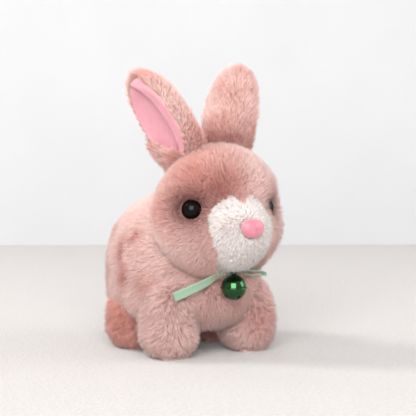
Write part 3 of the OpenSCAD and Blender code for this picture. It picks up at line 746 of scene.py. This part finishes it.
def trunk_keep(p, n):
    """No pile inside the head or the legs, nor on the housing's bare underside."""
    low, high = box_mm("lower_housing")
    housing = (np.abs(p[:, 0]) < high[0] + 1) & (p[:, 1] > low[1] - 1) & (p[:, 1] < high[1] + 1)
    belly = (p[:, 2] < BELLY_Z + 0.5) & housing
    return outside_head(p) & clear_of_legs(p) & ~belly


def trunk_flow(p, n):
    """Pile lies back and down, parted along the spine."""
    out = np.zeros_like(p)
    out[:, 0] = 0.3 * np.tanh(p[:, 0] / 14) + 0.25 * (noise3(p, 15, 91) - 0.5)
    out[:, 1] = 0.75
    out[:, 2] = -0.55
    return out


def make_trunk():
    skin = trunk_skin()
    skin_piece("body_backing", skin, coat_of_trunk, "chassis", ["body_plush"])
    coat = Coat(1, 8.0, trunk_flow, coat_of_trunk, keep=trunk_keep)
    grow("body_pile", coat, skin, "chassis")


def make_tail():
    low, high = box_mm("tail_plush")
    at = np.array([0, high[1] - TAIL_R, (low[2] + high[2]) / 2])
    skin = ball(at, np.full(3, TAIL_R - PILE_DEPTH + 0.5), 2.0, 20, 32)
    pale = lambda p: mix(PALE, WHITE, 0.25 + 0.3 * lumps(p, 8, 81))
    skin_piece("tail_backing", skin, pale, "chassis", ["tail_plush"])
    coat = Coat(2, 5.4, lambda p, n: n + [0, 0, -0.6], pale, lift=0.8)
    grow("tail_pile", coat, skin, "chassis")


LEG_SKIN_LOW = 2.2
LEG_TUCK = 9.0
LEG_TUCK_FROM, LEG_TUCK_OVER = 22, 26
LEG_BEND = (36, 22)


def leg_skin(at, semi):
    """A full leg, flat on the floor and drawn in under the trunk at its top."""
    inset = np.array([PILE_DEPTH, PILE_DEPTH, 1.0])
    skin = ball(at, semi - inset, LEG_POWER, 40, 56, 3.4)
    rise = np.clip((skin.points[:, 2] - LEG_TUCK_FROM) / LEG_TUCK_OVER, 0, 1) ** 1.4
    skin.points[:, 0] -= np.sign(at[0]) * LEG_TUCK * rise
    skin.points[:, 2] = np.maximum(skin.points[:, 2], LEG_SKIN_LOW)
    return skin


def make_leg(end, side):
    s = SIDES[side]
    at, semi = LEGS[end]
    at = mirrored(at, s)
    colour = coat_of_front_leg if end == "front" else coat_of_rear_leg
    body = f"{end}_leg_{side}"
    bend_top, bend_low = (tuple((at * [1, 1, 0] + [0, 0, z]) * MM) for z in LEG_BEND)
    crossing = ("chassis", body, bend_top, bend_low)
    skin = leg_skin(at, semi)
    stands_for = [f"{end}_leg_plush_{side}"]
    skin_piece(f"{end}_leg_backing_{side}", skin, colour, body, stands_for, blend=crossing)
    centre = at * [1, 1, 0] + [0, -semi[1] * 1.05, 17]

    def flow(p, n):
        out = unit((p - centre) * [1, 0.5, 1]) * 0.45
        out[:, 2] -= 0.8
        return out

    def keep(p, n):
        return (inside_trunk(p, PILE_DEPTH + 3) > 1) & (p[:, 2] > LEG_SKIN_LOW - 0.1)

    def length(p):
        return 3.8 + 3.4 * np.clip((p[:, 2] - 2) / 12, 0, 1)

    seed = 10 + 2 * (end == "rear") + (s > 0)
    coat = Coat(seed, length, flow, colour, lift=0.5, keep=keep, clump=0.4, ruffle=0.45)
    grow(f"{end}_leg_pile_{side}", coat, skin, body, blend=crossing)


# ---- Head --------------------------------------------------------------------


def smooth_max(a, b, soft):
    """The larger of two lengths, rounded over where they are nearly equal."""
    h = np.clip(0.5 + (a - b) / (2 * soft), 0, 1)
    return b * (1 - h) + a * h + soft * h * (1 - h)


def ray_to_ellipsoid(start, ways, centre, semi):
    """How far each ray runs to the far side of an ellipsoid, or 0 where it misses."""
    d, o = ways / semi, (start - centre) / semi
    a, b, c = (d * d).sum(-1), (d * o).sum(-1), (o * o).sum(-1) - 1
    under = b * b - a * c
    return np.where(under > 0, (-b + np.sqrt(np.maximum(under, 0))) / a, 0)


def muzzle_half_width(z):
    """Half the width of the white panel at each height."""
    heights = [50, 54, 58, 63, 70, 77, 84, 90, 94]
    widths = [3, 8, 11, 13.5, 16.5, 18.2, 17.6, 13.5, 6]
    return np.interp(z, heights, widths, left=0, right=0)


def on_muzzle(p):
    """Above 0 on the white panel, and about the distance to its edge in millimetres."""
    x = np.abs(p[:, 0])
    notch = np.clip(p[:, 2] - 88, 0, 20) * 0.8
    edge = np.minimum(muzzle_half_width(p[:, 2]) - x, np.where(p[:, 2] > 88, x - notch, 20))
    return np.where((p[:, 1] < HEAD_AT[1] - 10) & (p[:, 2] < 94), edge, -20)


HEAD_PILE, MUZZLE_PILE = 2.4, 2.4
MUZZLE_RISE = 0.15
SOCKET_R = 11.0


def eye_offsets(p, side):
    """How far out along an eye's own direction each point is, and how far off to the side."""
    way = unit(mirrored(EYE_WAY, side))
    off = p - mirrored(EYE_AT, side)
    along = off @ way
    return way, along, np.linalg.norm(off - along[:, None] * way, axis=-1)


def head_skin():
    """The head and the muzzle as one surface, with eye sockets, a bridge and the panel's seam."""
    skin = ball(np.zeros(3), np.ones(3), 2.0, 72, 112)
    ways = unit(skin.points)
    head = 1 / inside_head(HEAD_AT + ways, HEAD_PILE)
    muzzle = ray_to_ellipsoid(HEAD_AT, ways, MUZZLE_AT, MUZZLE_SEMI - MUZZLE_PILE)
    reach = smooth_max(head, muzzle, 3.0)
    points = HEAD_AT + ways * reach[:, None]
    for s in (-1, 1):
        way, along, wide = eye_offsets(points, s)
        dent = np.maximum(along - 1.0, 0) * np.exp(-((wide / SOCKET_R) ** 3))
        points = points - way * dent[:, None]
    bridge = 3.0 * near(points, (0, -60, 98), (15, 14, 9))
    for s in (-1, 1):
        bridge += 3.6 * near(points, mirrored((19, -57, 91), s), (7, 9, 8))
    seam = np.exp(-((on_muzzle(points) / 1.6) ** 2)) * 1.1
    points = points - ways * (seam + bridge)[:, None]
    skin.points = points
    return skin


def face_flow(p, n):
    """Pile lies away from the nose and round the eyes."""
    out = unit(p - (NOSE_AT + [0, 4, 4]))
    for s in (-1, 1):
        away = unit(p - mirrored(EYE_AT, s))
        out = out + away * near(p, mirrored(EYE_AT, s), (11, 11, 11))[:, None] * 1.6
    return out


def clear_of_eyes(p, margin=0.2):
    free = np.ones(len(p), bool)
    for s in (-1, 1):
        _, along, wide = eye_offsets(p, s)
        free &= (wide > EYE_R + margin) | (along < -EYE_R)
    return free


def head_keep(p, n):
    return (on_muzzle(p) < 0) & clear_of_eyes(p) & (inside_trunk(p, PILE_DEPTH + 5) > 1)


def head_length(p):
    eye = np.maximum(near(p, EYE_AT, (9, 9, 9)), near(p, mirrored(EYE_AT, -1), (9, 9, 9)))
    face = np.clip((-p[:, 1] - 46) / 16, 0, 1)
    return 6.4 - 3.0 * eye - 1.0 * face


def make_head():
    skin = head_skin()
    white = on_muzzle(skin.points[skin.quads].mean(1)) > 0
    colour = lambda p: mix(coat_of_head(p), WHITE, on_muzzle(p) * 0.8 + 0.5)
    skin_piece("head_backing", skin, colour, "head", ["head_plush"])
    panel = skin.patch(white, MUZZLE_RISE)
    skin_piece("muzzle_backing", panel, coat_of_muzzle, "head", ["muzzle_plush"])
    coat = Coat(3, head_length, face_flow, coat_of_head, lift=0.58, keep=head_keep)
    grow("head_pile", coat, skin, "head")
    keep = lambda p, n: (on_muzzle(p) > 0) & (inside(p, NOSE_AT, (6.8, 7, 4.9)) > 1)
    down = lambda p, n: unit(p - (NOSE_AT + [0, 4, 2])) + [0, 0, -0.5]
    coat = Coat(4, 4.6, down, coat_of_muzzle, lift=0.5, keep=keep, density=1.25, width=0.3)
    grow("muzzle_pile", coat, skin, "head")


# ---- Ears --------------------------------------------------------------------


def turned(angles, p):
    """Points turned about X, then Y, then Z, in degrees."""
    a, b, c = np.radians(angles)
    rx = np.array([[1, 0, 0], [0, math.cos(a), -math.sin(a)], [0, math.sin(a), math.cos(a)]])
    ry = np.array([[math.cos(b), 0, math.sin(b)], [0, 1, 0], [-math.sin(b), 0, math.cos(b)]])
    rz = np.array([[math.cos(c), -math.sin(c), 0], [math.sin(c), math.cos(c), 0], [0, 0, 1]])
    return p @ (rz @ ry @ rx).T


def ear_place(p, side):
    """From an ear's own axes to the frame: Z along the ear, -Y out of its opening."""
    p = turned((0, 0, EAR_TURN[side]), p)
    p = turned((-EAR_LEAN_BACK, EAR_LEAN_OUT[side], 0), p) + EAR_BASE[side]
    return mirrored(p, SIDES[side])


def flip_for(skin, side):
    """A mirrored skin has its faces turned over."""
    if SIDES[side] < 0:
        return Skin(skin.points, skin.quads[:, ::-1], skin.tris[:, ::-1])
    return skin


# The lining's two edges across the ear at heights from its root to its tip, for an ear
# whose half-length is LINING_FOR
LINING_FOR = 35.5
LINING_AT = [3, 9, 18, 30, 42, 52, 59, 63]
LINING_ROLL_EDGE = [-8.0, -12.0, -14.0, -14.2, -13.0, -9.5, -5.5, -1.0]
LINING_THIN_EDGE = [-7.0, 4.0, 13.5, 18.0, 18.5, 18.5, 18.5, 18.5]
LINING_RISE = 0.45
LINING_IN, LINING_OUT = 0.6, 0.965
ROLL_SLOPE = 3.0
HOLLOW = {"right": 4.4, "left": 1.5}
EAR_PILE = 3.0


def ear_form(side):
    """An ear in its own axes: a rounded leaf, hollowed towards its thin edge and rolled at the other."""
    semi = EAR_SEMI[side] - [EAR_PILE * 0.7, EAR_PILE * 0.7, EAR_PILE * 0.6]
    skin = ball(np.zeros(3), semi, 2.1, 72, 96, 3.2)
    p = skin.points
    rho = np.sqrt((p[:, 0] / semi[0]) ** 2 + (p[:, 2] / semi[2]) ** 2)
    front = p[:, 1] < 0
    z = p[:, 2] + EAR_SEMI[side][2] - EAR_ROOT
    stretch = EAR_SEMI[side][2] / LINING_FOR
    roll = np.interp(z / stretch, LINING_AT, LINING_ROLL_EDGE, left=30, right=30)
    thin = np.interp(z / stretch, LINING_AT, LINING_THIN_EDGE, left=-30, right=18)
    into = smooth_step((p[:, 0] - roll) / ROLL_SLOPE) * smooth_step((thin + 1.5 - p[:, 0]) / 2.5)
    into = np.where(front, into, 0)
    hollow = smooth_step((p[:, 0] - roll - 6.5) / 4.5)
    bed = -4.6 + HOLLOW[side] * hollow - 1.5 * rho**4
    p[:, 1] = np.where(front, p[:, 1] * (1 - into) + np.maximum(bed, p[:, 1]) * into, p[:, 1])
    cloth = front & (p[:, 0] > roll + LINING_IN) & (p[:, 0] < thin) & (rho < LINING_OUT)
    p[:, 2] += EAR_SEMI[side][2] - EAR_ROOT
    return skin, cloth


def smooth_step(t):
    t = np.clip(t, 0, 1)
    return t * t * (3 - 2 * t)


def make_ear(side):
    s = SIDES[side]
    body = f"ear_{side}"
    form, cloth = ear_form(side)
    skin = flip_for(Skin(ear_place(form.points, side), form.quads, form.tris), side)
    stands_for = [f"ear_plush_{side}"]
    skin_piece(f"ear_backing_{side}", skin, coat_of_ear, body, stands_for)
    way = unit(ear_place(np.array([[0, 0, 10.0]]), side) - ear_place(np.zeros((1, 3)), side))[0]
    middle_line = ear_place(np.array([[0, 0, EAR_SEMI[side][2] - EAR_ROOT]]), side)[0]

    def flow(p, n):
        out = p - middle_line
        out = out - np.outer(out @ way, way)
        return way * 0.8 + out * 0.03

    tree = KDTree(len(skin.points))
    for k, q in enumerate(skin.points):
        tree.insert(q, k)
    tree.balance()

    def nearest(p):
        return np.array([tree.find(q)[1] for q in p])

    def keep(p, n):
        return ~cloth[nearest(p)] & (inside_head(p, HEAD_PILE + 3) > 1)

    def length(p):
        """Short along the lining's thin edge, and long on the roll and the back."""
        near_point = form.points[nearest(p)]
        thin = smooth_step((near_point[:, 0] - 9) / 6) * smooth_step((near_point[:, 2] - 14) / 14)
        return 5.8 - 3.6 * thin * (near_point[:, 1] < 3)

    coat = Coat(20 + (s > 0), length, flow, coat_of_ear, lift=0.55, keep=keep, ruffle=0.3)
    grow(f"ear_pile_{side}", coat, skin, body)
    make_lining(side, form, cloth)


def make_lining(side, form, cloth):
    flat = form.patch(cloth[form.quads].all(1), LINING_RISE)
    leaf = flip_for(Skin(ear_place(flat.points, side), flat.quads, flat.tris), side)
    item = mesh_object(f"ear_lining_cloth_{side}", leaf.points, [leaf.quads], LINING)
    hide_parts(f"ear_lining_{side}")
    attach(item, f"ear_{side}")


# ---- Eyes and nose -----------------------------------------------------------


def make_eye(side):
    s = SIDES[side]
    skin = ball(mirrored(EYE_AT, s), np.full(3, EYE_R), 2.0, 48, 64)
    item = mesh_object(f"eye_{side}", skin.points, [skin.quads, skin.tris], EYE)
    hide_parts("eyes")
    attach(item, "head")


NOSE_CLEFT = 0.7
NOSE_CLEFT_W = 1.2


def make_nose():
    """A rounded nose, a little wider at its top, with a small cleft under its front."""
    low, high = box_mm("nose")
    semi = (high - low) / 2
    skin = ball(np.zeros(3), semi, 2.2, 40, 64)
    p = skin.points
    p[:, 0] *= 1 + 0.10 * p[:, 2] / semi[2] - 0.06
    low_front = (p[:, 2] < 0) & (p[:, 1] < 0)
    p[:, 2] += NOSE_CLEFT * np.exp(-((p[:, 0] / NOSE_CLEFT_W) ** 2)) * low_front
    skin.points = p + NOSE_AT
    item = mesh_object("nose_button", skin.points, [skin.quads, skin.tris], NOSE)
    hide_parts("nose")
    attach(item, "nose")


# ---- Bell --------------------------------------------------------------------

BELL_WALL = 0.6
BELL_RIM = 0.5
RING_R, RING_WIRE = 1.5, 0.4


def solidify(item, thickness, offset=-1.0):
    modifier = item.modifiers.new("wall", "SOLIDIFY")
    modifier.thickness = thickness * MM
    modifier.offset = offset


def bell_half(name, node, up, slotted):
    low, high = box_mm("bell_lower")
    centre = np.array([(low[0] + high[0]) / 2, (low[1] + high[1]) / 2, high[2]])
    radius = (high[0] - low[0]) / 2 - BELL_RIM
    angles = np.radians(np.linspace(0, 88.5, 60))
    profile = [(radius * math.sin(a), radius * math.cos(a)) for a in angles]
    rim = ((0.15, 0.52), (0.42, 0.42), (BELL_RIM, 0.2), (BELL_RIM, 0.0))
    profile += [(radius + out, rise) for out, rise in rim]
    profile = np.array(profile)
    sides = 128
    turn = np.linspace(0, 2 * np.pi, sides, endpoint=False)
    rows = np.stack([profile[:, :1] * np.cos(turn), profile[:, :1] * np.sin(turn),
                     np.repeat(profile[:, 1:], sides, 1)], -1)
    points = rows.reshape(-1, 3) * [1, 1, up]
    grid = np.arange(len(points)).reshape(len(profile), sides)
    nxt = np.roll(grid, -1, axis=1)
    quads = np.stack([grid[:-1], grid[1:], nxt[1:], nxt[:-1]], -1).reshape(-1, 4)
    if slotted:
        mid = points[quads].mean(1)
        reach = np.linalg.norm(mid[:, :2], axis=1)
        slot = (np.abs(mid[:, :2]).min(1) < 0.5) & (reach < 5.4)
        ends = np.array([[5.4, 0], [-5.4, 0], [0, 5.4], [0, -5.4]])
        holes = np.linalg.norm(mid[:, None, :2] - ends, axis=-1).min(1) < 1.1
        quads = quads[~(slot | holes)]
    if up < 0:
        quads = quads[:, ::-1]
    item = mesh_object(name, points + centre, [quads], BELL)
    solidify(item, BELL_WALL)
    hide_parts(node)
    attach(item, "bell")
    return item


def tube(name, path, radius, material, sides=16, closed=False):
    """A round wire along a path, in millimetres."""
    path = np.asarray(path, float)
    if closed:
        along = unit(np.roll(path, -1, 0) - np.roll(path, 1, 0))
    else:
        along = unit(np.gradient(path, axis=0))
    spin = unit(np.cross(along, [0.3, 0.5, 1.0]))
    other = np.cross(along, spin)
    a = np.linspace(0, 2 * np.pi, sides, endpoint=False)
    round_about = spin[:, None] * np.cos(a)[:, None] + other[:, None] * np.sin(a)[:, None]
    rings = path[:, None] + radius * round_about
    grid = np.arange(len(path) * sides).reshape(len(path), sides)
    nxt = np.roll(grid, -1, axis=1)
    if closed:
        below, below_next = np.roll(grid, -1, 0), np.roll(nxt, -1, 0)
        quads = np.stack([grid, below, below_next, nxt], -1).reshape(-1, 4)
    else:
        quads = np.stack([grid[:-1], grid[1:], nxt[1:], nxt[:-1]], -1).reshape(-1, 4)
    return mesh_object(name, rings.reshape(-1, 3), [quads], material)


def make_bell():
    bell_half("bell_cap", "bell_upper", 1, False)
    bell_half("bell_bowl", "bell_lower", -1, True)
    x, y = middle("bell_upper")[:2]
    a = np.linspace(0, 2 * np.pi, 40, endpoint=False)
    top = box_mm("bell_upper")[1][2] - RING_R - RING_WIRE
    loop = np.stack([x + RING_R * np.cos(a), np.full(40, y), top + RING_R * np.sin(a)], -1)
    ring = tube("bell_ring", loop, RING_WIRE, BELL, closed=True)
    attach(ring, "bell")


# ---- Ribbon ------------------------------------------------------------------

RIBBON_W = 6.0
RIBBON_T = 0.35
BAND_R = 29.0
BAND_TILT = 47
BAND_DROP = 4.8
NECK_AT = np.array([0, -21.0, 71.0])


def curve_through(points, count):
    """A smooth line through given points (Catmull-Rom)."""
    p = np.asarray(points, float)
    p = np.concatenate([[2 * p[0] - p[1]], p, [2 * p[-1] - p[-2]]])
    out = []
    for u in np.linspace(0, len(p) - 3 - 1e-6, count):
        k, t = int(u), u - int(u)
        a, b, c, d = p[k : k + 4]
        square, cube = 2 * a - 5 * b + 4 * c - d, 3 * b - a - 3 * c + d
        out.append(0.5 * (2 * b + (c - a) * t + square * t**2 + cube * t**3))
    return np.array(out)


def strip(name, line, across, widths, closed=False):
    """A flat ribbon along a line, with the direction across it at each point."""
    rows = 7
    offsets = np.linspace(-0.5, 0.5, rows)
    dish = 0.25 * (1 - (2 * offsets) ** 2)
    along = unit(np.gradient(line, axis=0))
    face = unit(np.cross(along, across))
    points = (line[:, None] + across[:, None] * (widths[:, None] * offsets)[:, :, None]
              + face[:, None] * dish[None, :, None])
    grid = np.arange(len(line) * rows).reshape(len(line), rows)
    if closed:
        grid = np.concatenate([grid, grid[:1]])
    quads = np.stack([grid[:-1, :-1], grid[1:, :-1], grid[1:, 1:], grid[:-1, 1:]], -1).reshape(-1, 4)
    item = mesh_object(name, points.reshape(-1, 3), [quads], RIBBON)
    layer = item.data.uv_layers.new(name="weave")
    step = np.linalg.norm(np.diff(line, axis=0), axis=1)
    run = np.concatenate([[0], np.cumsum(step)]) * MM
    uv_of = np.stack(np.broadcast_arrays(run[:, None], offsets * RIBBON_W * MM), -1).reshape(-1, 2)
    corners = np.zeros(len(item.data.loops), np.int32)
    item.data.loops.foreach_get("vertex_index", corners)
    layer.data.foreach_set("uv", uv_of[corners].astype(np.float32).ravel())
    solidify(item, RIBBON_T, 0.0)
    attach(item, "chassis")
    return item


KNOT = np.array([0.0, -47.5, 52.2])


def laid(name, points, across, widths, count=48):
    """A ribbon through points, turned so that its width runs along the directions given."""
    line = curve_through(points, count)
    across = curve_through(across, count)
    along = unit(np.gradient(line, axis=0))
    across = unit(across - along * (across * along).sum(-1, keepdims=True))
    widths = np.interp(np.linspace(0, 1, count), np.linspace(0, 1, len(widths)), widths)
    return strip(name, line, across, widths)


def make_ribbon():
    tail = [KNOT + [-1, -0.4, 0], (-7, -47.0, 50.5), (-15, -46.6, 46.4), (-24, -43.6, 42.0),
            (-33.5, -39.8, 37.8)]
    across = [(0, -0.4, 1), (-0.1, -0.5, 1), (-0.1, -0.5, 1), (-0.1, -0.4, 1), (0, -0.3, 1)]
    item = laid("ribbon_tail", tail, across, [2.4, 4.4, RIBBON_W, RIBBON_W, RIBBON_W])
    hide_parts("ribbon")
    loop = [KNOT + [1, -0.4, 0.4], (6, -49.4, 52.4), (13, -49.6, 51.4), (19.5, -48.6, 50.4),
            (22.6, -47.2, 49.0), (20.6, -46.4, 47.6), (13, -46.9, 48.6), (6, -47.0, 50.6),
            KNOT + [1, 0.2, 0]]
    laid("ribbon_loop", loop, [(0, -1, 0.5), (0, -1, 0.35), (0, -1, 0.3), (0, -1, 0.3), (0, -1, 0.1)],
         [2.2, 3.6, 4.4, 4.4, 4.4, 3.6, 2.2], 72)
    around = np.linspace(0, 2 * np.pi, 24)
    wrap = KNOT + np.stack([np.zeros(24), 1.3 * np.cos(around), 1.9 * np.sin(around)], -1)
    strip("ribbon_knot", wrap, np.repeat([[1.0, 0, 0]], 24, axis=0), np.full(24, 3.0))
    make_neck_band()


def make_neck_band():
    """The band that is tied round the neck, lost in the pile, and the way down from it to the knot."""
    tilt = math.radians(BAND_TILT)
    up = np.array([0, -math.sin(tilt), math.cos(tilt)])
    flat = np.array([0, math.cos(tilt), math.sin(tilt)])
    a = np.linspace(0, 2 * np.pi, 97)
    ring = NECK_AT - up * BAND_DROP + BAND_R * (np.outer(np.cos(a), [1, 0, 0]) + np.outer(np.sin(a), flat))
    strip("ribbon_band", ring, np.repeat([up], 97, axis=0), np.full(97, RIBBON_W - 1))
    throat = [(0, -40.2, 46.4), (0, -43.6, 48.8), (0, -47.0, 51.8)]
    laid("ribbon_throat", throat, [(1, 0, 0)] * 3, [RIBBON_W, 4.4, 3.0], 16)


# ---- Stage, finishes and the build -------------------------------------------


def make_stage():
    span, wall_back = 1.6, 0.735
    corners = np.array([[-span, -span, 0], [span, -span, 0], [span, span, 0], [-span, span, 0]]) / MM
    floor = mesh_object("floor", corners, [np.array([[0, 1, 2, 3]])], rug_cloth(), smooth=False)
    ahead = np.array([-math.sin(CAMERA_TURN), math.cos(CAMERA_TURN), 0])
    right = np.array([math.cos(CAMERA_TURN), math.sin(CAMERA_TURN), 0])
    base = ahead * wall_back
    left_foot, right_foot, rise = base - right * 2, base + right * 2, np.array([0, 0, 1.6])
    wall = np.array([left_foot, right_foot, right_foot + rise, left_foot + rise])
    wall = mesh_object("wall", wall / MM, [np.array([[0, 1, 2, 3]])], wall_paint(), smooth=False)


def finish_cad_nodes():
    """A moulded, drawn or printed finish for each CAD node that stays."""
    finishes = {
        "white_plastic": plastic("moulded_white", (0.80, 0.78, 0.74)),
        "grey_plastic": plastic("moulded_grey", (0.25, 0.26, 0.28)),
        "gear_plastic": plastic("acetal_white", (0.85, 0.84, 0.78), 0.3),
        "black_plastic": plastic("moulded_black", (0.015, 0.015, 0.017)),
        "cell_wrap": plastic("cell_sleeve", (0.05, 0.22, 0.12), 0.3),
        "board": plastic("solder_mask", (0.01, 0.14, 0.05), 0.25),
        "steel": metal("bright_steel", (0.62, 0.63, 0.65)),
        "sole_fabric": short_velvet("sole_cloth", (0.60, 0.38, 0.35), 0.3),
    }
    for row in frame["record"]["subparts"]:
        finish = finishes.get(row["material_slot"])
        if finish is not None:
            materials = frame["nodes"][row["node"]].data.materials
            materials.clear()
            materials.append(finish)


make_camera()
make_world()
area_light("key", (-0.95, 0.55, 1.05), 0.35, 12, (1.0, 0.97, 0.94))
area_light("front_fill", (-0.85, -1.2, 0.65), 1.2, 36, (1.0, 0.98, 0.97))
area_light("right_fill", (1.1, -0.8, 0.6), 0.8, 7, (1.0, 0.98, 0.97))

PILE = coat_fur()
BACKING = backing_cloth()
LINING = short_velvet("lining_velvet", (0.585, 0.275, 0.32), 0.2)
EYE = glossy_eye()
NOSE = nose_flock()
BELL = green_lacquer()
RIBBON = satin_ribbon()

finish_cad_nodes()
make_trunk()
make_tail()
for side_name in SIDES:
    make_leg("front", side_name)
    make_leg("rear", side_name)
    make_ear(side_name)
    make_eye(side_name)
make_head()
make_nose()
make_bell()
make_ribbon()
make_stage()
